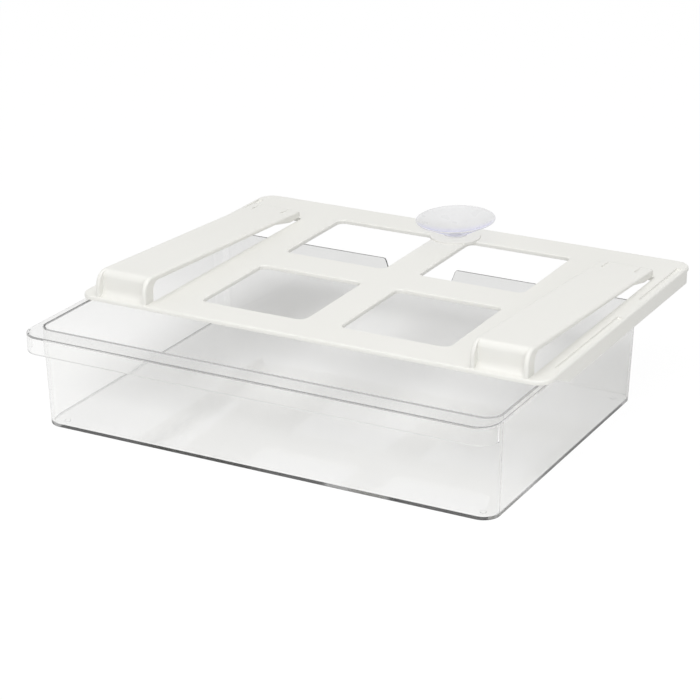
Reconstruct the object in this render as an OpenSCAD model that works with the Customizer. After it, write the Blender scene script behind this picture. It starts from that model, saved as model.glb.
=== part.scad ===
// Under-shelf fridge bin: a clear pull-out bin that hangs from a bracket with two
// springy arms. A fridge shelf slides in between the arms and the bracket plate, and a
// suction cup behind them keeps the bracket from creeping. Millimetres, Z up, the front
// towards -Y. The bin stands on Z = 0, partly pulled out.

/* [Bracket plate] */
// width over both rails
frame_w = 300; // [240:1:360]
// depth of the plate, front to back
frame_d = 222; // [180:1:280]
// thickness of the plate
plate_t = 2.6; // [2:0.1:4]
// plan radius of the plate's corners
frame_r = 10; // [4:1:20]
// front bar, from the front edge to the front windows
bar_front = 24; // [16:1:40]
// cross bar between the front and the rear windows
bar_cross = 27.8; // [16:0.1:40]
// bar between the left and the right windows
bar_mid = 23.4; // [16:0.1:40]
// window width
win_w = 68.5; // [40:0.5:90]
// window depth
win_d = 72.3; // [40:0.1:90]
// plan radius of the window corners
win_r = 4.5; // [2:0.5:10]

/* [Rails] */
// height of a rail, from the top of the plate down
rail_h = 10; // [8:0.5:16]
// thickness of a rail's side wall
rail_wall = 2.3; // [1.5:0.1:4]
// thickness of the lips that carry the bin's flanges
lip_t = 2.2; // [1.5:0.1:4]
// width of the lips, and of the grooves in the plate above them
lip_w = 3.1; // [2:0.1:6]
// length of the front lips
lip_front_len = 86; // [40:1:120]
// length of the rear lips
lip_rear_len = 63; // [40:1:120]

/* [Arms] */
// width of an arm
arm_w = 34.6; // [20:0.2:50]
// distance from the frame's side to the arm's outer side
arm_inset = 11.8; // [8:0.1:30]
// length of an arm, front face to tip
arm_len = 184.5; // [120:0.5:220]
// height of the arm's shoulder above the plate
arm_rise = 15.2; // [10:0.1:30]
// height of the arm's tip above the plate
tip_rise = 5.9; // [4:0.1:15]
// outside radius of the shoulder
shoulder_r = 9; // [5:0.5:12]
// depth of the side ribs of the arm's front wall
rib_d = 9.8; // [6:0.1:14]
// thickness of a side rib
rib_t = 2.8; // [2:0.1:5]
// how far the web sits back between the ribs
web_back = 4.6; // [2:0.1:6]
// arm thickness behind the shoulder
arm_t = 4.1; // [3:0.1:6]
// arm thickness ahead of the grip pad
arm_end_t = 2.5; // [2:0.1:5]

/* [Bin] */
// width of the bin's bottom
bin_w = 284.6; // [220:0.2:340]
// depth of the bin's bottom
bin_d = 199; // [150:1:260]
// height of the rim
bin_h = 60.4; // [40:0.2:90]
// wall thickness
wall_t = 1.5; // [1.2:0.1:3]
// floor thickness
floor_t = 1.7; // [1.5:0.1:4]
// how far each wall leans out from bottom to rim
draft = 1.8; // [0.5:0.1:4]
// plan radius of the bin's corners
bin_r = 10; // [5:1:25]
// width of the side flanges that run in the rails
flange_side = 3; // [2:0.1:6]
// width of the front flange
flange_front = 13; // [8:0.5:20]
// plan radius of the flange's corners
flange_r = 12; // [5:1:25]
// height of the skirt under the front flange, flange included
skirt_h = 11; // [8:0.5:20]
// how far the skirt runs back round each front corner
skirt_wrap = 10.4; // [8:0.2:20]
// width of the notch in the back wall
notch_w = 48; // [30:1:80]
// depth of the notch
notch_h = 12; // [8:0.5:25]

/* [Suction cup] */
// diameter of the cup's lip
cup_d = 50; // [35:1:60]
// height of the lip above the plate
cup_rise = 12; // [8:0.5:16]
// distance from the plate's rear edge to the cup's axis
cup_inset = 22.5; // [15:0.5:40]

/* [Rest position] */
// how far the bin is pulled out of the bracket
pull_out = 64.4; // [0:0.2:120]

/* [Hidden] */
$fn = 48;
eps = 0.01;

bracket_white = [0.93, 0.93, 0.90];
clear_plastic = [0.86, 0.88, 0.89, 0.45];
clear_vinyl = [0.74, 0.74, 0.90, 0.60];

// The front edges of the bin's flange and of the plate, which are flush when the bin is in.
cup_overhang = max(0, cup_d / 2 - cup_inset);
bin_front = -(pull_out + frame_d + cup_overhang) / 2;
plate_front = bin_front + pull_out;
plate_rear = plate_front + frame_d;

flange_gap = 0.6;
plate_bottom = bin_h + flange_gap;
plate_top = plate_bottom + plate_t;

rail_bottom = plate_top - rail_h;
rail_inner = frame_w / 2 - rail_wall;
rail_lead = 18;
rail_front = plate_front + 13;
rail_rear = plate_rear - frame_r;
lip_top = bin_h - wall_t - flange_gap;
lip_front_y = plate_front + 27;
lip_rear_y = plate_front + 145.5;
groove_lead = 4;
groove_t = 1.2;

arm_out = frame_w / 2 - arm_inset;
arm_in = arm_out - arm_w;
arm_front = plate_front + 1;
arm_tip = arm_front + arm_len;
pad_len = 13;
pad_ramp = 18;
pad_gap = 0.6;
tip_groove_w = 1.6;
tip_groove_len = 13.5;
tip_groove_t = 0.5;
tip_groove_pitch = 21;

boss_r = 16;
boss_h = 1.2;
cup_y = plate_rear - cup_inset;
neck_r = 4;
neck_fit = 0.05;
cup_gap = 0.15;

bin_bottom_front = bin_front + flange_front + draft;
nub_h = 0.5;
nub_r = 1.8;
nub_inset = 9.8;

// Points of an arc about c, from angle a0 to a1.
function arc(c, r, a0, a1, steps = 8) =
    [for (i = [0 : steps]) c + r * [cos(a0 + (a1 - a0) * i / steps), sin(a0 + (a1 - a0) * i / steps)]];

// A rectangle with round corners, given by its lowest and highest corner.
module round_rect(low, high, r) {
    translate([low.x + r, low.y]) square([high.x - low.x - 2 * r, high.y - low.y]);
    translate([low.x, low.y + r]) square([high.x - low.x, high.y - low.y - 2 * r]);
    for (x = [low.x + r, high.x - r], y = [low.y + r, high.y - r])
        translate([x, y]) circle(r);
}

// The piece drawn on the right-hand side, or its mirror image on the left.
module on_side(side) {
    mirror([side < 0 ? 1 : 0, 0, 0]) children();
}

// ---- bracket plate ----

module windows() {
    for (side = [-1, 1], row = [0, 1]) {
        x = side > 0 ? bar_mid / 2 : -bar_mid / 2 - win_w;
        y = plate_front + bar_front + row * (win_d + bar_cross);
        round_rect([x, y], [x + win_w, y + win_d], win_r);
    }
}

// The long slot under each arm.
module arm_slots() {
    for (side = [-1, 1]) on_side(side)
        translate([arm_in, arm_front + rib_d]) square([arm_w, arm_len - rib_d + 1]);
}

// The two narrow, shallow grooves over each rail's lips.
module grooves() {
    for (side = [-1, 1]) on_side(side) {
        translate([rail_inner - lip_w - 0.3, lip_front_y - groove_lead, plate_top - groove_t])
            cube([lip_w + 0.3, lip_front_len + groove_lead, groove_t + 1]);
        translate([rail_inner - lip_w - 0.3, lip_rear_y, plate_top - groove_t])
            cube([lip_w + 0.3, lip_rear_len, groove_t + 1]);
    }
}

module frame_plate() {
    color(bracket_white) difference() {
        union() {
            translate([0, 0, plate_bottom]) linear_extrude(plate_t) difference() {
                round_rect([-frame_w / 2, plate_front], [frame_w / 2, plate_rear], frame_r);
                windows();
                arm_slots();
            }
            translate([0, cup_y, plate_bottom]) cylinder(r = boss_r, h = plate_t + boss_h, $fn = 96);
        }
        translate([0, cup_y, plate_bottom - 1])
            cylinder(r = neck_r + neck_fit, h = plate_t + boss_h + 2, $fn = 96);
        grooves();
    }
}

// ---- rails ----

// Side wall with a slanted front end, and two lips that reach in under the bin's flange.
module rail(side) {
    color(bracket_white) on_side(side) {
        translate([rail_inner, 0, 0]) rotate([90, 0, 90]) linear_extrude(rail_wall) polygon([
            [rail_front, plate_bottom],
            [rail_front + rail_lead, rail_bottom],
            [rail_rear, rail_bottom],
            [rail_rear, plate_bottom],
        ]);
        for (lip = [[lip_front_y, lip_front_len], [lip_rear_y, lip_rear_len]])
            translate([rail_inner - lip_w, lip[0], lip_top - lip_t])
                cube([lip_w + eps, lip[1], lip_t]);
    }
}

module rail_left() { rail(-1); }
module rail_right() { rail(1); }

// ---- arms ----

// Side view of an arm in (y, z), with y from its front face and z from the plate's top.
function arm_outline() = let (
        inner_r = 5,
        shoulder_y = rib_d + inner_r,
        under = arm_rise - arm_t,
        pad_y = arm_len - pad_len,
        ramp_y = pad_y - pad_ramp,
        ramp_z = tip_rise + 1 - arm_end_t
    ) concat(
        [[0, 0]],
        arc([shoulder_r, arm_rise - shoulder_r], shoulder_r, 180, 90),
        [[arm_len - 3, tip_rise]],
        arc([arm_len - 2, tip_rise - 2], 2, 60, 0, 4),
        arc([arm_len - 1.5, pad_gap + 1.5], 1.5, 0, -90, 4),
        [[pad_y, pad_gap], [ramp_y, ramp_z], [shoulder_y, under]],
        arc([rib_d + inner_r, under - inner_r], inner_r, 90, 180, 6),
        [[rib_d, 0]]
    );

// What is missing in front of the web: a pocket that runs out at the shoulder, with a
// round ledge at its foot.
function pocket_outline() = let (web_r = shoulder_r - web_back) concat(
        [[-1, web_back]],
        arc([0, web_back], web_back, -90, 0),
        arc([shoulder_r, arm_rise - web_r], web_r, 180, 90),
        [[shoulder_r, arm_rise + 1], [-1, arm_rise + 1]]
    );

module arm(side) {
    color(bracket_white) on_side(side) translate([arm_in, arm_front, plate_top]) difference() {
        rotate([90, 0, 90]) linear_extrude(arm_w) polygon(arm_outline());
        translate([rib_t, 0, 0]) rotate([90, 0, 90])
            linear_extrude(arm_w - 2 * rib_t) polygon(pocket_outline());
        for (i = [-1, 1])
            translate([arm_w / 2 + i * tip_groove_pitch / 2 - tip_groove_w / 2,
                       arm_len - tip_groove_len, tip_rise - tip_groove_t])
                cube([tip_groove_w, tip_groove_len + 1, arm_rise]);
    }
}

module arm_left() { arm(-1); }
module arm_right() { arm(1); }

// ---- bin ----

// A thin slice of the bin's body at height z, moved in from its outer surface by inset.
module bin_slice(z, inset) {
    lean = draft * z / bin_h - inset;
    translate([0, 0, z]) linear_extrude(eps) round_rect(
        [-bin_w / 2 - lean, bin_bottom_front - lean],
        [bin_w / 2 + lean, bin_bottom_front + bin_d + lean],
        bin_r - inset, $fn = 32);
}

module bin_body() {
    difference() {
        hull() {
            bin_slice(nub_h, 1);
            bin_slice(nub_h + 1, 0);
            bin_slice(bin_h - eps, 0);
        }
        hull() {
            bin_slice(nub_h + floor_t, wall_t + 1);
            bin_slice(nub_h + floor_t + 1, wall_t);
            bin_slice(bin_h + 1, wall_t);
        }
    }
}

// The flange's outline, moved in from its edge by inset.
module flange_outline(inset) {
    half = bin_w / 2 + draft + flange_side - inset;
    round_rect([-half, bin_front + inset],
        [half, bin_bottom_front + bin_d + draft - inset], flange_r - inset);
}

module bin_flange() {
    translate([0, 0, bin_h - wall_t]) linear_extrude(wall_t) difference() {
        flange_outline(0);
        round_rect(
            [-bin_w / 2 - draft + wall_t / 2, bin_bottom_front - draft + wall_t / 2],
            [bin_w / 2 + draft - wall_t / 2, bin_bottom_front + bin_d + draft - wall_t / 2],
            bin_r);
    }
}

module bin_skirt() {
    translate([0, 0, bin_h - skirt_h]) linear_extrude(skirt_h) intersection() {
        difference() {
            flange_outline(0);
            flange_outline(wall_t);
        }
        translate([-frame_w, bin_front - 1]) square([2 * frame_w, skirt_wrap + 1]);
    }
}

// Clearance for the cup's button as the bin goes in.
module back_notch() {
    slope = 4.3;
    translate([0, bin_bottom_front + bin_d + 10, bin_h]) rotate([90, 0, 0]) linear_extrude(20) polygon([
        [-notch_w / 2 - slope / notch_h, 1],
        [-notch_w / 2 + slope, -notch_h],
        [notch_w / 2 - slope, -notch_h],
        [notch_w / 2 + slope / notch_h, 1],
    ]);
}

module bin() {
    color(clear_plastic) {
        difference() {
            union() {
                bin_body();
                bin_flange();
            }
            back_notch();
        }
        bin_skirt();
        for (side = [-1, 1], y = [nub_inset, bin_d - nub_inset])
            translate([side * (bin_w / 2 - nub_inset), bin_bottom_front + y, 0])
                cylinder(r = nub_r, h = nub_h + 1);
    }
}

// ---- suction cup ----

// Half section in (r, z), with z from the top of the boss: bowl, neck and button.
module cup_section() {
    lip_z = cup_rise - boss_h;
    lip_t = 0.9;
    bowl_z = lip_z - 4.6;
    under_z = 1.2;
    collar_r = 7.5;
    button_r = 6.5;
    button_t = 2.4;
    through = plate_t + boss_h;
    steps = 8;
    lip_r = cup_d / 2;
    inside = [for (i = [0 : steps]) [lip_r * i / steps, bowl_z + (lip_z - bowl_z) * pow(i / steps, 2)]];
    outside = [for (i = [0 : steps]) let (t = i / steps)
        [lip_r + (collar_r - lip_r) * t, lip_z - lip_t + (under_z - lip_z + lip_t) * (0.9 * t + 0.1 * t * t)]];
    polygon(concat(inside, outside, [
        [collar_r, cup_gap],
        [neck_r, cup_gap],
        [neck_r, -through - cup_gap],
        [button_r, -through - cup_gap],
        [button_r, -through - cup_gap - button_t],
        [0, -through - cup_gap - button_t],
    ]));
}

module suction_cup() {
    color(clear_vinyl) translate([0, cup_y, plate_top + boss_h])
        rotate_extrude($fn = 96) cup_section();
}

frame_plate();
rail_left();
rail_right();
arm_left();
arm_right();
bin();
suction_cup();
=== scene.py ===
"""Under-shelf fridge bin: a white bracket with two springy arms and a suction cup, and
a clear bin that slides in the bracket's rails. Shapes are worked out in millimetres and
turned to metres when a mesh is made. Z is up and the front is towards -Y."""
from math import cos, hypot, pi, radians, sin, sqrt

import bmesh
import bpy
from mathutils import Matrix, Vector


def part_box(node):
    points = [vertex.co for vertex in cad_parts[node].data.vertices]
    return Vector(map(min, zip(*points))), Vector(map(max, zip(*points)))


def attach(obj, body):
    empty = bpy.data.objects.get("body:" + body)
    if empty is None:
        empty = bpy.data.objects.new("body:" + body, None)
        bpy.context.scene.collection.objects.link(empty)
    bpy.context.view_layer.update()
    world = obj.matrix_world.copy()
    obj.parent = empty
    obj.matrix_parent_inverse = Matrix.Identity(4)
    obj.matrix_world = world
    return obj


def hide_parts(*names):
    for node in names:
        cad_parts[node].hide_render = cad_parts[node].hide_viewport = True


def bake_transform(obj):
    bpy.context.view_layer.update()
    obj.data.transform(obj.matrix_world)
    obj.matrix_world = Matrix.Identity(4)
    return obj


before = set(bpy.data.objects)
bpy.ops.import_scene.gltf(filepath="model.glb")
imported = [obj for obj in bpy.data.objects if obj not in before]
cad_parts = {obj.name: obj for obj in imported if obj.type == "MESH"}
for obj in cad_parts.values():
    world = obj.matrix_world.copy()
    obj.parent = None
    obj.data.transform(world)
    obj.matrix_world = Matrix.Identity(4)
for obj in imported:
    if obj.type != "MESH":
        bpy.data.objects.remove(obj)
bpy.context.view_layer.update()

MM = 0.001


def corners(node):
    """Lowest and highest corner of a CAD node, in millimetres."""
    low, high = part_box(node)
    return low / MM, high / MM


PLATE_LO, PLATE_HI = corners("frame_plate")
RAIL_LO, RAIL_HI = corners("rail_right")
ARM_LO, ARM_HI = corners("arm_right")
BIN_LO, BIN_HI = corners("bin")
CUP_LO, CUP_HI = corners("suction_cup")

PLATE_TOP = ARM_LO.z
PLATE_BOTTOM = PLATE_LO.z
BOSS_TOP = PLATE_HI.z
BIN_H = BIN_HI.z
CUP_Y = (CUP_LO.y + CUP_HI.y) / 2

# thickness of the bin's walls and rim, and depth of an arm's foot on the plate
WALL_T = 1.5
FOOT_D = 9.8


# ---- outlines ----

def arc(cx, cy, r, a0, a1, steps):
    """Points of an arc, both ends included, with the angles in degrees."""
    angles = [radians(a0 + (a1 - a0) * i / steps) for i in range(steps + 1)]
    return [(cx + r * cos(a), cy + r * sin(a)) for a in angles]


def round_rect(x0, y0, x1, y1, r, steps=8):
    """A rectangle with round corners, anticlockwise."""
    return (arc(x1 - r, y0 + r, r, -90, 0, steps) + arc(x1 - r, y1 - r, r, 0, 90, steps)
            + arc(x0 + r, y1 - r, r, 90, 180, steps) + arc(x0 + r, y0 + r, r, 180, 270, steps))


def circle(cx, cy, r, steps=48):
    return arc(cx, cy, r, 0, 360, steps)[:-1]


def mirrored(loop):
    """The loop on the other side of x = 0, still anticlockwise."""
    return [(-x, y) for x, y in reversed(loop)]


def inset(loop, distance):
    """The anticlockwise loop moved inwards by distance, or outwards if it is negative."""
    moved = []
    n = len(loop)
    for i, (x, y) in enumerate(loop):
        (ax, ay), (bx, by) = loop[i - 1], loop[(i + 1) % n]
        ux, uy, vx, vy = x - ax, y - ay, bx - x, by - y
        lu, lv = hypot(ux, uy), hypot(vx, vy)
        n1, n2 = (-uy / lu, ux / lu), (-vy / lv, vx / lv)
        scale = distance / max(0.3, 1 + n1[0] * n2[0] + n1[1] * n2[1])
        moved.append((x + (n1[0] + n2[0]) * scale, y + (n1[1] + n2[1]) * scale))
    return moved


def quarter(r, steps):
    """(inset, drop) pairs of a quarter-round edge, from the side face to the flat face."""
    angles = [pi / 2 * i / steps for i in range(steps + 1)]
    return [(r - r * cos(a), r - r * sin(a)) for a in angles]


# ---- meshes ----

def to_mesh(bm, name):
    """A new object from the bmesh, whose vertices are in millimetres."""
    bmesh.ops.scale(bm, vec=(MM, MM, MM), verts=bm.verts)
    bmesh.ops.remove_doubles(bm, verts=bm.verts, dist=2e-6)
    bmesh.ops.recalc_face_normals(bm, faces=bm.faces)
    mesh = bpy.data.meshes.new(name)
    bm.to_mesh(mesh)
    bm.free()
    obj = bpy.data.objects.new(name, mesh)
    bpy.context.scene.collection.objects.link(obj)
    return obj


def skin(bm, a, b):
    """Quads between two closed rings of vertices."""
    for i in range(len(a)):
        j = (i + 1) % len(a)
        bm.faces.new((a[i], a[j], b[j], b[i]))


def edges_of(bm, ring):
    """The edges round a closed ring of vertices."""
    return [bm.edges.get((ring[i - 1], ring[i])) for i in range(len(ring))]


def slab(name, outer, holes, z0, z1, edge=0.5, bottom=None, hole_edges=0.4, steps=3,
         place=lambda u, v, w: (u, v, w)):
    """A flat body with rounded edges: the outer loop less the holes, from z0 to z1. The
    holes' edges have one radius, or a list of them. place turns (u, v, w), where w runs
    from z0 to z1, into (x, y, z)."""
    if not isinstance(hole_edges, list):
        hole_edges = [hole_edges] * len(holes)
    bm = bmesh.new()
    tops, bottoms = [], []
    for k, loop in enumerate([outer] + holes):
        r1 = hole_edges[k - 1] if k else edge
        r0 = r1 if bottom is None else min(r1, bottom)
        side = 1 if k == 0 else -1
        levels = ([(i, z0 + d) for i, d in reversed(quarter(r0, steps))]
                  + [(i, z1 - d) for i, d in quarter(r1, steps)])
        rings = [[bm.verts.new(place(u, v, z)) for u, v in inset(loop, side * i)]
                 for i, z in levels]
        for a, b in zip(rings, rings[1:]):
            skin(bm, a, b)
        bottoms.append(rings[0])
        tops.append(rings[-1])
    up = Vector(place(0, 0, 1)) - Vector(place(0, 0, 0))
    for rings in (tops, bottoms):
        borders = [e for ring in rings for e in edges_of(bm, ring)]
        bmesh.ops.triangle_fill(bm, use_beauty=True, edges=borders, normal=up)
    return to_mesh(bm, name)


def combine(target, others, operation):
    """Joins the other solids to the target, or cuts them out of it, and removes them."""
    for other in others:
        m = target.modifiers.new("cut", "BOOLEAN")
        m.object, m.operation, m.solver = other, operation, "EXACT"
    bpy.context.view_layer.update()
    shape = target.evaluated_get(bpy.context.evaluated_depsgraph_get())
    mesh = bpy.data.meshes.new_from_object(shape)
    target.modifiers.clear()
    target.data = mesh
    for other in others:
        bpy.data.objects.remove(other)


def smooth(obj, angle=40):
    """Soft shading over the rounded edges, flat over the large faces."""
    obj.data.shade_smooth()
    obj.data.set_sharp_from_angle(angle=radians(angle))
    m = obj.modifiers.new("normals", "WEIGHTED_NORMAL")
    m.keep_sharp = True
    m.weight = 90


# ---- materials ----

def feed(tree, value, socket):
    """Sets a socket to a number, a colour or a vector, or links another socket to it."""
    if isinstance(value, bpy.types.NodeSocket):
        tree.links.new(value, socket)
    else:
        socket.default_value = value


def arithmetic(tree, operation, *values):
    """The result of a sum on numbers and sockets."""
    node = tree.nodes.new("ShaderNodeMath")
    node.operation = operation
    for value, socket in zip(values, node.inputs):
        feed(tree, value, socket)
    return node.outputs["Value"]


def mix_shaders(tree, factor, first, second):
    """A shader that is the first where the factor is 0, and the second where it is 1."""
    mix = tree.nodes.new("ShaderNodeMixShader")
    for value, socket in zip((factor, first, second), mix.inputs):
        feed(tree, value, socket)
    return mix.outputs["Shader"]


class Nodes:
    """Short calls for building one material's node tree."""

    def __init__(self, name):
        self.material = bpy.data.materials.new(name)
        self.material.use_nodes = True
        self.tree = self.material.node_tree
        self.shader = self.tree.nodes["Principled BSDF"]
        self.output = self.tree.nodes["Material Output"]
        self.coords = self.add("ShaderNodeTexCoord").outputs["Object"]

    def add(self, kind, **values):
        node = self.tree.nodes.new(kind)
        for key, value in values.items():
            if hasattr(node, key):
                setattr(node, key, value)
            else:
                feed(self.tree, value, node.inputs[key.replace("_", " ")])
        return node

    def link(self, a, b):
        self.tree.links.new(a, b)

    def noise(self, scale, detail=2.0, stretch=None):
        """A noise value whose features are about 1 / scale metres across."""
        node = self.add("ShaderNodeTexNoise", Scale=scale, Detail=detail)
        coords = self.coords
        if stretch:
            mapping = self.add("ShaderNodeMapping")
            mapping.inputs["Scale"].default_value = stretch
            self.link(coords, mapping.inputs["Vector"])
            coords = mapping.outputs["Vector"]
        self.link(coords, node.inputs["Vector"])
        return node.outputs["Fac"]

    def span(self, value, low, high, source=(0.3, 0.7)):
        """The value, moved from its source range to low .. high."""
        node = self.add("ShaderNodeMapRange")
        for name, v in zip(("From Min", "From Max", "To Min", "To Max"), (*source, low, high)):
            node.inputs[name].default_value = v
        self.link(value, node.inputs["Value"])
        return node.outputs["Result"]

    def blend_colours(self, value, first, second):
        node = self.add("ShaderNodeMix", data_type="RGBA")
        self.link(value, node.inputs["Factor"])
        node.inputs[6].default_value = (*first, 1)
        node.inputs[7].default_value = (*second, 1)
        return node.outputs[2]

    def bump(self, height, strength, distance, normal=None):
        node = self.add("ShaderNodeBump", Strength=strength, Distance=distance)
        self.link(height, node.inputs["Height"])
        if normal is not None:
            self.link(normal, node.inputs["Normal"])
        return node.outputs["Normal"]

    def set(self, **values):
        """Sets the shader's own inputs, by number or from a node's output."""
        for key, value in values.items():
            feed(self.tree, value, self.shader.inputs[key.replace("_", " ")])


def let_caught_light_out(n, shader, share=0.5, most_bounces=2):
    """Light caught between the faces of the clear material leaves it after a few bounces,
    weakened to this share."""
    path = n.add("ShaderNodeLightPath").outputs
    deep = arithmetic(n.tree, "GREATER_THAN", path["Glossy Depth"], most_bounces)
    leak = n.add("ShaderNodeBsdfTransparent", Color=(share, share, share, 1))
    return mix_shaders(n.tree, deep, shader, leak.outputs["BSDF"])


def let_light_through(n, shader, tint):
    """Light that reaches a surface, or comes from one, passes the clear material as if it
    were thin air with this tint, so that what lies behind it is lit."""
    path = n.add("ShaderNodeLightPath").outputs
    either = arithmetic(n.tree, "MAXIMUM", path["Is Shadow Ray"], path["Is Diffuse Ray"])
    thin = n.add("ShaderNodeBsdfTransparent", Color=(*tint, 1))
    surface = mix_shaders(n.tree, either, shader, thin.outputs["BSDF"])
    n.link(surface, n.output.inputs["Surface"])


def white_plastic():
    """Warm white moulded plastic: satin, with a faint orange peel and flow marks."""
    n = Nodes("white_plastic")
    cloud = n.noise(14, 3, stretch=(1, 0.35, 1))
    peel = n.noise(700, 2)
    grain = n.noise(3500, 1)
    n.set(Base_Color=n.blend_colours(cloud, (0.80, 0.795, 0.755), (0.835, 0.83, 0.795)),
          Roughness=n.span(n.noise(45, 3), 0.36, 0.48),
          Normal=n.bump(grain, 0.08, 0.00002, n.bump(peel, 0.10, 0.00005)),
          IOR=1.49)
    return n.material


def clear_plastic():
    """Clear moulded plastic, with faint waves in its surface and a little haze."""
    n = Nodes("clear_plastic")
    waves = n.noise(22, 2, stretch=(1, 1, 0.4))
    n.set(Base_Color=(0.995, 0.995, 0.992, 1), Transmission_Weight=1.0, IOR=1.5,
          Roughness=n.span(n.noise(60, 3), 0.045, 0.075),
          Normal=n.bump(waves, 0.05, 0.00015))
    let_light_through(n, let_caught_light_out(n, n.shader.outputs["BSDF"]),
                      (0.985, 0.985, 0.985))
    return n.material


def clear_vinyl():
    """Soft vinyl, milky and only half clear, with a violet tint where it is seen edge-on."""
    n = Nodes("clear_vinyl")
    facing = n.add("ShaderNodeLayerWeight", Blend=0.5).outputs["Facing"]
    n.set(Base_Color=n.blend_colours(n.span(facing, 0, 1, (0.70, 0.95)),
                                     (0.74, 0.74, 0.742), (0.66, 0.66, 0.98)),
          Alpha=0.64, IOR=1.42, Specular_IOR_Level=0.4,
          Roughness=n.span(n.noise(80, 3), 0.25, 0.35),
          Normal=n.bump(n.noise(120, 2), 0.06, 0.0001))
    let_light_through(n, n.shader.outputs["BSDF"], (0.985, 0.985, 0.995))
    return n.material


# ---- bracket: plate, boss and rails in one moulding ----

# width, depth and corner radius of a window, and the bars between and before the windows
WIN_W, WIN_D, WIN_R = 68.5, 72.3, 4.5
BAR_MID, BAR_FRONT, BAR_CROSS = 23.4, 24.0, 27.8
PLATE_R = 10.0
RAIL_WALL = 2.3
LIP_W = RAIL_HI.x - RAIL_LO.x - RAIL_WALL
LIP_T, LIP_GAP = 2.2, 0.6
# where the lips start and end behind the plate's front edge; a groove lies above each
LIP_SPANS = ((27.0, 113.0), (145.5, 208.5))
GROOVE_LEAD, GROOVE_T = 4.0, 1.2
NECK_HOLE_R = 4.05


def plate_holes():
    """The four windows, and the long slot under each arm."""
    front = PLATE_LO.y
    holes = []
    for row in (0, 1):
        y = front + BAR_FRONT + row * (WIN_D + BAR_CROSS)
        holes.append(round_rect(BAR_MID / 2, y, BAR_MID / 2 + WIN_W, y + WIN_D, WIN_R))
    holes.append(round_rect(ARM_LO.x, ARM_LO.y + FOOT_D, ARM_HI.x, ARM_HI.y + 1, 0.8, 3))
    return holes + [mirrored(hole) for hole in holes]


def groove_cutters():
    """What is missing in the shallow grooves over the rails' lips. The front groove starts
    a little ahead of its lip."""
    loops = []
    for lead, (start, end) in zip((GROOVE_LEAD, 0), LIP_SPANS):
        loops.append(round_rect(RAIL_LO.x - 0.3, PLATE_LO.y + start - lead,
                                RAIL_LO.x + LIP_W, PLATE_LO.y + end, 0.8, 3))
    return [slab("groove", loop, [], PLATE_TOP - GROOVE_T, PLATE_TOP + 2, edge=1.0)
            for loop in loops + [mirrored(loop) for loop in loops]]


def side_view(u, v, w):
    """Puts an outline drawn in (y, z) on the right-hand side, with w along x."""
    return (w, u, v)


def rail_parts(name):
    """The side wall of the right rail, with its slanted front end, and its two lips."""
    wall_in = RAIL_LO.x + LIP_W
    sink, slant, corner = 1.0, 18.0, 0.8
    top = PLATE_BOTTOM + sink
    ahead = sink * slant / (PLATE_BOTTOM - RAIL_LO.z)
    outline = [(RAIL_LO.y - ahead, top), (RAIL_LO.y + slant - corner, RAIL_LO.z + 0.25),
               (RAIL_LO.y + slant + 0.6, RAIL_LO.z), (RAIL_HI.y - corner, RAIL_LO.z),
               (RAIL_HI.y, RAIL_LO.z + corner), (RAIL_HI.y, top)]
    parts = [slab(name + "_wall", outline, [], wall_in, PLATE_HI.x - 0.02, 0.45,
                  place=side_view)]
    lip_top = BIN_H - WALL_T - LIP_GAP
    for k, (start, end) in enumerate(LIP_SPANS):
        lip = round_rect(PLATE_LO.y + start, lip_top - LIP_T, PLATE_LO.y + end, lip_top, 0.5, 3)
        parts.append(slab(f"{name}_lip{k}", lip, [], RAIL_LO.x, wall_in + 1, 0.3,
                          place=side_view))
    return parts


def mirror_copy(obj, name):
    """The same solid on the other side of x = 0."""
    mesh = obj.data.copy()
    for v in mesh.vertices:
        v.co.x = -v.co.x
    mesh.flip_normals()
    copy = bpy.data.objects.new(name, mesh)
    bpy.context.scene.collection.objects.link(copy)
    return copy


def make_bracket(material):
    boss_r = 16.0
    window_edge, slot_edge = 0.9, 0.4
    outer = round_rect(PLATE_LO.x, PLATE_LO.y, PLATE_HI.x, PLATE_HI.y, PLATE_R, 10)
    hole = circle(0, CUP_Y, NECK_HOLE_R)
    plate = slab("bracket_shell", outer, plate_holes() + [hole], PLATE_BOTTOM, PLATE_TOP,
                 edge=1.2, bottom=0.3,
                 hole_edges=[window_edge, window_edge, slot_edge] * 2 + [0.3])
    boss = slab("boss", circle(0, CUP_Y, boss_r), [hole], PLATE_TOP - 0.8, BOSS_TOP,
                edge=0.5, bottom=0.05, hole_edges=0.2)
    right = rail_parts("rail_r")
    left = [mirror_copy(p, p.name.replace("_r", "_l")) for p in right]
    combine(plate, [boss] + right + left, "UNION")
    combine(plate, groove_cutters(), "DIFFERENCE")
    smooth(plate)
    plate.data.materials.append(material)
    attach(plate, "bracket")
    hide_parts("frame_plate", "rail_left", "rail_right")


# ---- arms ----

ARM_W = ARM_HI.x - ARM_LO.x
ARM_LEN = ARM_HI.y - ARM_LO.y
ARM_RISE = ARM_HI.z - ARM_LO.z
TIP_RISE = 5.9
SHOULDER_R = 9.0
# the shoulder's web lies this far behind its two side ribs, which are RIB_T wide
WEB_BACK = 4.6
RIB_T = 2.8
# how far the foot reaches down into the plate's slot
ARM_SINK = 1.3


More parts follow.
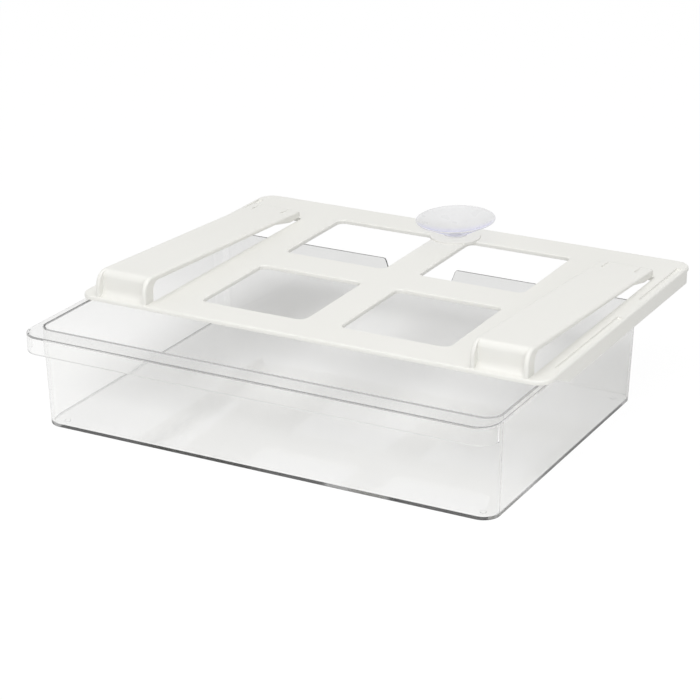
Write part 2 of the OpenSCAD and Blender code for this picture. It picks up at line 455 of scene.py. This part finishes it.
def arm_front():
    """Pairs of points in (y, z): on the rib's front edge, and level with it on the web."""
    web_r = SHOULDER_R - WEB_BACK
    bend = ARM_RISE - SHOULDER_R
    web = ([(WEB_BACK * sin(a), WEB_BACK - WEB_BACK * cos(a))
            for a in (radians(9 * i) for i in range(11))]
           + [(WEB_BACK, WEB_BACK + (ARM_RISE - web_r - WEB_BACK) * i / 5) for i in range(1, 5)]
           + [(SHOULDER_R - web_r * cos(a), ARM_RISE - web_r + web_r * sin(a))
              for a in (radians(6 * i) for i in range(16))])
    pairs = [((0, -ARM_SINK), (0, -ARM_SINK))]
    for y, z in web:
        over = max(0.0, z - bend)
        rib_y = SHOULDER_R - sqrt(max(0.0, SHOULDER_R ** 2 - over ** 2))
        pairs.append(((min(rib_y, y), z), (y, z)))
    return pairs


def arm_rest():
    """The rest of the arm's side view, from behind the shoulder round the tip to the foot."""
    inner_r, arm_t, end_t = 5.0, 4.1, 2.5
    under = ARM_RISE - arm_t
    pad_y, pad_gap = ARM_LEN - 13, 0.6
    ramp_y, ramp_z = pad_y - 18, TIP_RISE + 1 - end_t
    top = [(SHOULDER_R + (ARM_LEN - 3 - SHOULDER_R) * i / 24,
            ARM_RISE + (TIP_RISE - ARM_RISE) * i / 24) for i in range(1, 25)]
    back_y = FOOT_D + inner_r
    bottom = [(ramp_y + (back_y - ramp_y) * i / 20, ramp_z + (under - ramp_z) * i / 20)
              for i in range(20)]
    return (top + arc(ARM_LEN - 2, TIP_RISE - 2, 2, 60, 0, 5)
            + arc(ARM_LEN - 1.5, pad_gap + 1.5, 1.5, 0, -90, 5)
            + [(pad_y, pad_gap)] + bottom
            + arc(back_y, under - inner_r, inner_r, 90, 180, 9)
            + [(FOOT_D, 3.0), (FOOT_D, -ARM_SINK)])


def arm_section(x, edge, depth, pairs, rest):
    """One section across the arm: edge is the inset of its rounded side, and depth how
    far the front has moved back from the ribs' front edge towards the web."""
    front = []
    for (rib_y, z), (web_y, _) in pairs:
        front.append((min(web_y, rib_y + depth), z))
    loop = (front + rest)[::-1]
    if edge:
        loop = inset(loop, edge)
    return [(ARM_LO.x + x, ARM_LO.y + y, PLATE_TOP + z) for y, z in loop]


def arm_solid(name):
    """The right arm, as sections from its inner to its outer side."""
    side_r, side_w, rim_r, root_r = 1.3, 1.95, 0.8, 1.2
    pairs, rest = arm_front(), arm_rest()
    half = sorted((d * side_w / side_r, i, 0.0) for i, d in quarter(side_r, 6))
    half += [(RIB_T - rim_r + rim_r * sin(a), 0.0, rim_r - rim_r * cos(a))
             for a in (radians(18 * i) for i in range(6))]
    wall = WEB_BACK - root_r
    half += [(RIB_T + root_r - root_r * cos(a), 0.0, wall + root_r * sin(a))
             for a in (radians(18 * i) for i in range(6))]
    middle = [(ARM_W * (0.5 + 0.06 * k), 0.0, WEB_BACK) for k in (-5, -3, -1, 1, 3, 5)]
    sections = half + middle + [(ARM_W - x, i, d) for x, i, d in reversed(half)]
    bm = bmesh.new()
    rings = [[bm.verts.new(p) for p in arm_section(x, i, d, pairs, rest)]
             for x, i, d in sections]
    for a, b in zip(rings, rings[1:]):
        skin(bm, a, b)
    bm.faces.new(rings[0])
    bm.faces.new(rings[-1])
    return to_mesh(bm, name)


def make_arms(material):
    groove_w, groove_len, groove_t, pitch = 1.6, 13.5, 0.5, 21.0
    right = arm_solid("arm_right_spring")
    centre = (ARM_LO.x + ARM_HI.x) / 2
    cuts = []
    for k in (-1, 1):
        x = centre + k * pitch / 2
        loop = round_rect(x - groove_w / 2, ARM_HI.y - groove_len, x + groove_w / 2,
                          ARM_HI.y + 6, 0.7, 4)
        cuts.append(slab("groove", loop, [], PLATE_TOP + TIP_RISE - groove_t, ARM_HI.z + 4, 0.5))
    combine(right, cuts, "DIFFERENCE")
    left = mirror_copy(right, "arm_left_spring")
    for obj, hand, side in ((right, "right", 1), (left, "left", -1)):
        smooth(obj, 50)
        obj.data.materials.append(material)
        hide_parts(f"arm_{hand}")
        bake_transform(obj)


# ---- bin ----

FLOOR_T = 1.7
# how far the walls lean in from the rim down to the floor
DRAFT = 1.8
NUB_H = 0.5
# how far the flange stands out at the sides, and its corner radius
FLANGE_SIDE, FLANGE_R = 3.0, 12.0
SKIRT_H = 11.0
# corner radius of the tub at the rim, and its front face and half width there
BODY_R = 10.0
BODY_FRONT = BIN_LO.y + 13.0
BODY_HALF = BIN_HI.x - FLANGE_SIDE
# width at the top and depth of the back wall's notch, and how far its sides slope in
NOTCH_W, NOTCH_D, NOTCH_SLOPE = 48.0, 12.0, 4.3


def bin_stations():
    """Where the bin's rings have their points: (corner, angle) on the corners, a share
    along each straight side, and how deep the skirt and the notch are there."""
    stations = []
    skirt_end = 82.5
    for corner in range(4):
        for k in range(13):
            angle = 7.5 * k
            from_front = {0: angle, 3: 90 - angle}.get(corner)
            has_skirt = from_front is not None and from_front <= skirt_end + 1e-6
            twin = from_front is not None and abs(from_front - skirt_end) < 1e-6
            stations.append(("corner", corner, angle, has_skirt, 0.0))
            if twin:
                at = len(stations) if corner == 0 else len(stations) - 1
                stations.insert(at, ("corner", corner, angle, False, 0.0))
        if corner == 1:
            half, flat = NOTCH_W / 2, NOTCH_W / 2 - NOTCH_SLOPE
            right = [(half + 6, 0), (half + 1.2, 0), (half + 0.3, 0.25),
                     (half - 0.3, 1.1), (half - 1.0, 2.9), (flat + 1.0, NOTCH_D - 2.8),
                     (flat + 0.35, NOTCH_D - 1.0), (flat - 0.3, NOTCH_D - 0.2),
                     (flat - 1.2, NOTCH_D), (8, NOTCH_D)]
            for x, d in right + [(-x, d) for x, d in reversed(right)]:
                stations.append(("back", x, 0.0, False, d))
        else:
            for share in (0.25, 0.5, 0.75):
                stations.append(("side", corner, share, corner == 3, 0.0))
    return stations


def bin_ring(stations, half, y0, y1, r, z, drop=0.0, no_skirt_z=None):
    """One ring of the bin. Stations without a skirt use no_skirt_z, and the ring dips
    by drop times the notch's depth."""
    centres = [(half - r, y0 + r), (half - r, y1 - r), (-half + r, y1 - r), (-half + r, y0 + r)]
    ring = []
    for kind, a, b, has_skirt, notch in stations:
        level = z if has_skirt or no_skirt_z is None else no_skirt_z
        level -= drop * notch
        if kind == "corner":
            cx, cy = centres[a]
            angle = radians(-90 + 90 * a + b)
            ring.append((cx + r * cos(angle), cy + r * sin(angle), level))
        elif kind == "back":
            ring.append((a, y1 - DRAFT * drop * notch / BIN_H, level))
        else:
            (ax, ay), (bx, by) = centres[a], centres[(a + 1) % 4]
            ux, uy = {0: (r, 0), 2: (-r, 0), 3: (0, -r)}[a]
            ring.append((ax + (bx - ax) * b + ux, ay + (by - ay) * b + uy, level))
    return ring


def bin_rings():
    """The bin's rings, up the inside, over the rim, round the skirt and down the outside."""
    stations = bin_stations()
    rings = []

    def wall(step_in, z, drop=0.0):
        inwards = DRAFT * (1 - z / BIN_H) + step_in
        rings.append(bin_ring(stations, BODY_HALF - inwards, BODY_FRONT + inwards,
                              BIN_HI.y - inwards, BODY_R - step_in, z, drop))

    def flange(step_in, z, no_skirt_z=None, keep_out=False):
        back = BIN_HI.y - step_in
        if keep_out:
            back = max(back, BIN_HI.y - DRAFT * (1 - (no_skirt_z or z) / BIN_H))
        rings.append(bin_ring(stations, BIN_HI.x - step_in, BIN_LO.y + step_in, back,
                              FLANGE_R - step_in, z, 1.0, no_skirt_z))

    floor_top = NUB_H + FLOOR_T
    under = BIN_H - WALL_T
    fold, rim, edge, foot, skirt_edge = 0.8, 0.25, 0.5, 0.6, 0.7
    wall_levels = (14, 26, 38)
    for i, d in reversed(quarter(fold, 5)):
        wall(WALL_T + i, floor_top + d)
    for z in wall_levels:
        wall(WALL_T, z)
    for i, d in quarter(rim, 4):
        wall(WALL_T - i, BIN_H - d, drop=1.0)
    for i, d in reversed(quarter(edge, 4)):
        flange(i, BIN_H - d)
    skirt_z = BIN_H - SKIRT_H
    for i, d in quarter(skirt_edge, 4):
        flange(i, skirt_z + d, under + min(d, 0.3), True)
    for i, d in reversed(quarter(skirt_edge, 4)):
        flange(WALL_T - i, skirt_z + d, under, True)
    flange(WALL_T, under, None, True)
    wall(0, under, drop=1.0)
    for z in reversed(wall_levels):
        wall(0, z)
    for i, d in quarter(foot, 6):
        wall(i, NUB_H + d)
    return rings


def add_nub(bm, x, y):
    """A small round foot under the bin's floor; gives the edges of its open upper end."""
    nub_r, segments = 1.8, 24
    levels = [(nub_r, NUB_H), (nub_r, 0.25), (nub_r - 0.1, 0.08), (nub_r - 0.3, 0.0)]
    rows = [[bm.verts.new((u, v, z)) for u, v in circle(x, y, r, segments)] for r, z in levels]
    for a, b in zip(rows, rows[1:]):
        skin(bm, a, b)
    bm.faces.new(rows[-1])
    return edges_of(bm, rows[0])


def make_bin(material):
    """One closed shell, with a nub near each corner of its floor."""
    bm = bmesh.new()
    rows = [[bm.verts.new(p) for p in ring] for ring in bin_rings()]
    for a, b in zip(rows, rows[1:]):
        skin(bm, a, b)
    bm.faces.new(rows[0])
    edges = edges_of(bm, rows[-1])
    nub_inset = DRAFT + 9.8
    for side in (-1, 1):
        for y in (BODY_FRONT + nub_inset, BIN_HI.y - nub_inset):
            edges += add_nub(bm, side * (BODY_HALF - nub_inset), y)
    bmesh.ops.triangle_fill(bm, use_beauty=True, edges=edges, normal=(0, 0, -1))
    obj = to_mesh(bm, "clear_bin")
    smooth(obj)
    obj.data.materials.append(material)
    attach(obj, "drawer")
    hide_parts("bin")


# ---- suction cup ----

def cup_profile():
    """Half section in (r, z), from the middle of the bowl round the lip to the button."""
    lip_r, lip_z, lip_t = (CUP_HI.x - CUP_LO.x) / 2, CUP_HI.z, 0.9
    bowl_z, under_z = lip_z - 4.6, BOSS_TOP + 1.2
    collar_r, neck_r, button_r = 7.5, NECK_HOLE_R - 0.05, 6.5
    gap = 0.15
    steps = 22
    inside = [(lip_r * i / steps, bowl_z + (lip_z - bowl_z) * (i / steps) ** 2)
              for i in range(steps - 1)]
    lip = arc(lip_r - lip_t / 2, lip_z - lip_t / 2, lip_t / 2, 80, -80, 6)
    out_r, out_z = lip_r - 0.4, lip_z - lip_t
    outside = []
    for i in range(1, steps + 1):
        t = i / steps
        outside.append((out_r + (collar_r - out_r) * t,
                        out_z + (under_z - out_z) * (0.9 * t + 0.1 * t * t)))
    high, low = BOSS_TOP + gap, PLATE_BOTTOM - gap
    neck = [(collar_r, high + 0.5), (collar_r - 0.15, high + 0.15),
            (collar_r - 0.5, high), (neck_r, high), (neck_r, low)]
    button = ([(button_r - 0.5, low)]
              + arc(button_r - 0.5, low - 0.5, 0.5, 90, 0, 4)[1:]
              + arc(button_r - 0.7, CUP_LO.z + 0.7, 0.7, 0, -90, 4) + [(0, CUP_LO.z)])
    return inside + lip + outside + neck + button


def lean(x, y, z):
    """The soft cup leans a little above its boss: up to the right and up at the back. The
    lean grows from nothing at the neck's top to its whole slope 5 mm higher."""
    slope_x, slope_y, neck_top = 0.026, 0.051, BOSS_TOP + 0.7
    share = min(1.0, max(0.0, (z - neck_top) / 5))
    return (x, y, z + share * (slope_x * x + slope_y * (y - CUP_Y)))


def make_cup(material):
    segments = 96
    bm = bmesh.new()
    rows = []
    for r, z in cup_profile():
        ring = circle(0, CUP_Y, max(r, 1e-4), segments)
        rows.append([bm.verts.new(lean(x, y, z)) for x, y in ring])
    for a, b in zip(rows, rows[1:]):
        skin(bm, a, b)
    obj = to_mesh(bm, "vinyl_cup")
    smooth(obj, 60)
    obj.data.materials.append(material)
    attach(obj, "cup")
    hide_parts("suction_cup")


# ---- floor, light and camera ----

def whiten(tree, shader, output, share, clear_share):
    """Shows the shader to the object, and mostly plain white where nothing is in front,
    with a share of that white behind the clear plastic and in reflections."""
    white = tree.nodes.new("ShaderNodeEmission")
    white.inputs["Color"].default_value = (1, 1, 1, 1)
    white.inputs["Strength"].default_value = 1.02
    path = tree.nodes.new("ShaderNodeLightPath").outputs
    beyond = arithmetic(tree, "MAXIMUM", path["Is Transmission Ray"], path["Is Glossy Ray"])
    behind = arithmetic(tree, "MULTIPLY", beyond, clear_share)
    total = arithmetic(tree, "MULTIPLY_ADD", path["Is Camera Ray"], share, behind)
    tree.links.new(mix_shaders(tree, total, shader, white.outputs["Emission"]), output)


def make_floor():
    """A plain pale floor, with painted shade: a little darker towards the back, where it is seen
    through the clear plastic under the bracket.
    """
    size, painted_shade_y = 8.0, 0.18
    clear_share_front, clear_share_back = 0.40, 0.12
    mesh = bpy.data.meshes.new("floor")
    mesh.from_pydata([(-size, -size, 0), (size, -size, 0), (size, size, 0), (-size, size, 0)],
                     [], [(0, 1, 2, 3)])
    floor = bpy.data.objects.new("floor", mesh)
    floor.location.z = -0.0002
    bpy.context.scene.collection.objects.link(floor)
    n = Nodes("floor_paper")
    place = n.add("ShaderNodeSeparateXYZ")
    n.link(n.coords, place.inputs["Vector"])
    # Painted shade: from the middle backwards the floor's colour darkens to 0.82 of itself,
    # standing in for the shade under the bracket seen through the clear plastic.
    back = n.span(place.outputs["Y"], 0, 1, (0.0, painted_shade_y))
    mottle = n.blend_colours(n.noise(6, 2), (0.91, 0.91, 0.905), (0.93, 0.93, 0.925))
    shade = n.add("ShaderNodeMix", data_type="RGBA", blend_type="MULTIPLY")
    n.link(back, shade.inputs["Factor"])
    n.link(mottle, shade.inputs[6])
    shade.inputs[7].default_value = (0.82, 0.82, 0.82, 1)
    n.set(Base_Color=shade.outputs[2], Roughness=0.9, Specular_IOR_Level=0.1)
    # Painted shade too: less of the plain white shows behind the clear plastic towards the back.
    whiten(n.tree, n.shader.outputs["BSDF"], n.output.inputs["Surface"], 0.95,
           n.span(back, clear_share_front, clear_share_back, (0, 1)))
    mesh.materials.append(n.material)


def area_light(name, location, target, size, power, colour=(1, 1, 1)):
    data = bpy.data.lights.new(name, "AREA")
    data.shape, data.size, data.size_y = "RECTANGLE", *size
    data.energy, data.color = power, colour
    obj = bpy.data.objects.new(name, data)
    obj.location = location
    obj.rotation_euler = (Vector(target) - Vector(location)).to_track_quat("-Z", "Y").to_euler()
    bpy.context.scene.collection.objects.link(obj)


def make_light():
    world = bpy.data.worlds.new("studio")
    world.use_nodes = True
    back = world.node_tree.nodes["Background"]
    back.inputs["Color"].default_value = (1, 1, 1, 1)
    back.inputs["Strength"].default_value = 0.50
    output = world.node_tree.nodes["World Output"]
    whiten(world.node_tree, back.outputs["Background"], output.inputs["Surface"], 1.0, 0.45)
    bpy.context.scene.world = world
    area_light("key", (0.1, -0.7, 1.9), (0, 0, 0), (1.6, 1.6), 17.6)
    area_light("top", (0, 0.3, 2.0), (0, 0, 0), (1.6, 1.6), 7.4)
    area_light("front", (1.1, -2.2, 0.7), (0, 0, 0), (2.4, 1.2), 13)


def make_camera():
    data = bpy.data.cameras.new("camera")
    data.lens = 121.8
    data.sensor_width = 36
    data.clip_start, data.clip_end = 0.05, 30
    camera = bpy.data.objects.new("camera", data)
    eye, target = Vector((0.60633, -1.16008, 0.53658)), Vector((-0.01163, 0.00035, 0.02579))
    camera.location = eye
    camera.rotation_euler = (target - eye).to_track_quat("-Z", "Y").to_euler()
    bpy.context.scene.collection.objects.link(camera)
    bpy.context.scene.camera = camera


bpy.context.scene.view_settings.view_transform = "Standard"
make_camera()
make_light()
make_floor()
white = white_plastic()
make_bracket(white)
make_arms(white)
make_bin(clear_plastic())
make_cup(clear_vinyl())
